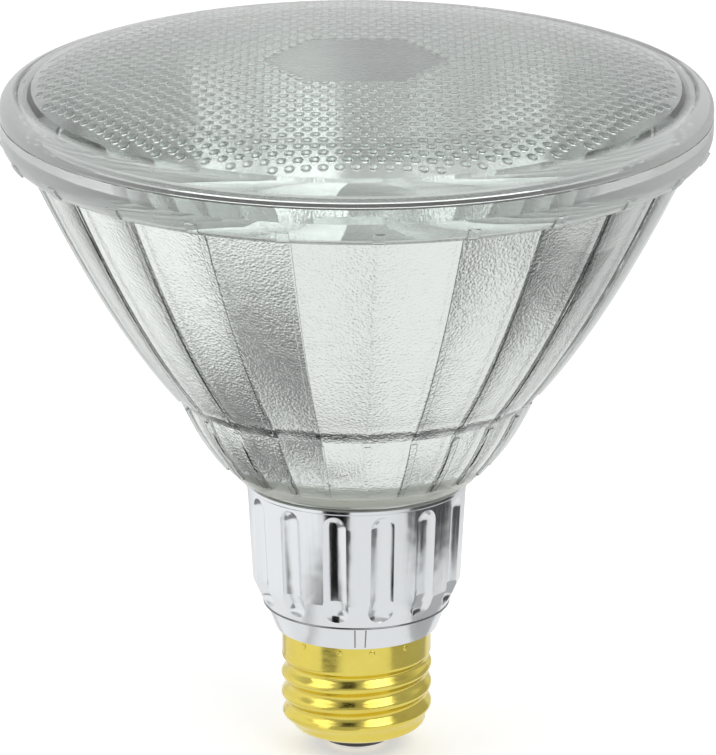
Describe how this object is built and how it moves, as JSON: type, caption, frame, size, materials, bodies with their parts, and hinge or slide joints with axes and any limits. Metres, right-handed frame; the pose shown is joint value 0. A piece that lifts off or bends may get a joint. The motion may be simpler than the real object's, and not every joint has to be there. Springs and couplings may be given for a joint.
{
  "type": "reflector spotlight bulb",
  "caption": "Glass reflector spotlight bulb with a stippled lens, a fluted bowl, a bright metal skirt and a medium screw base.",
  "frame": {"origin": "flat tip of the solder on the centre contact, on the lamp's axis", "axes": "+Z along the axis from the screw base to the lens; -Y faces the picture's camera"},
  "size_m": [0.1216, 0.1216, 0.1247],
  "materials": {
    "lens": "clear pressed glass, stippled inside",
    "lens_seal": "clear grey silicone adhesive",
    "reflector": "pressed glass, silvered inside",
    "skirt": "bright pressed sheet",
    "basing_cement": "cement",
    "screw_shell": "bright rolled sheet",
    "base_insulator": "black glass",
    "centre_contact": "bright eyelet",
    "contact_solder": "solder",
    "heat_spreader": "drawn sheet",
    "thermal_pad": "soft grey pad",
    "led_board": "white mask on aluminium",
    "led_emitters": "phosphor window",
    "board_screws": "zinc plated",
    "driver_cup": "moulded white plastic",
    "driver_board": "green solder mask",
    "storage_capacitor": "black sleeve",
    "power_transformer": "ferrite and yellow tape",
    "filter_inductor": "ferrite drum",
    "fuse_resistor": "lacquered body",
    "film_capacitor": "yellow case",
    "bridge_rectifier": "black moulding",
    "driver_chip": "black moulding",
    "contact_lead": "red insulation",
    "shell_lead": "bare tinned wire",
    "output_leads": "white insulation"
  },
  "bodies": {
    "root": {"lens": "lens", "lens_seal": "lens_seal", "reflector": "reflector", "skirt": "skirt", "basing_cement": "basing_cement", "screw_shell": "screw_shell", "base_insulator": "base_insulator", "centre_contact": "centre_contact", "contact_solder": "contact_solder", "heat_spreader": "heat_spreader", "thermal_pad": "thermal_pad", "led_board": "led_board", "led_emitters": "led_emitters", "board_screws": "board_screws", "driver_cup": "driver_cup", "driver_board": "driver_board", "storage_capacitor": "storage_capacitor", "power_transformer": "power_transformer", "filter_inductor": "filter_inductor", "fuse_resistor": "fuse_resistor", "film_capacitor": "film_capacitor", "bridge_rectifier": "bridge_rectifier", "driver_chip": "driver_chip", "contact_lead": "contact_lead", "shell_lead": "shell_lead", "output_leads": "output_leads"}
  },
  "joints": []
}
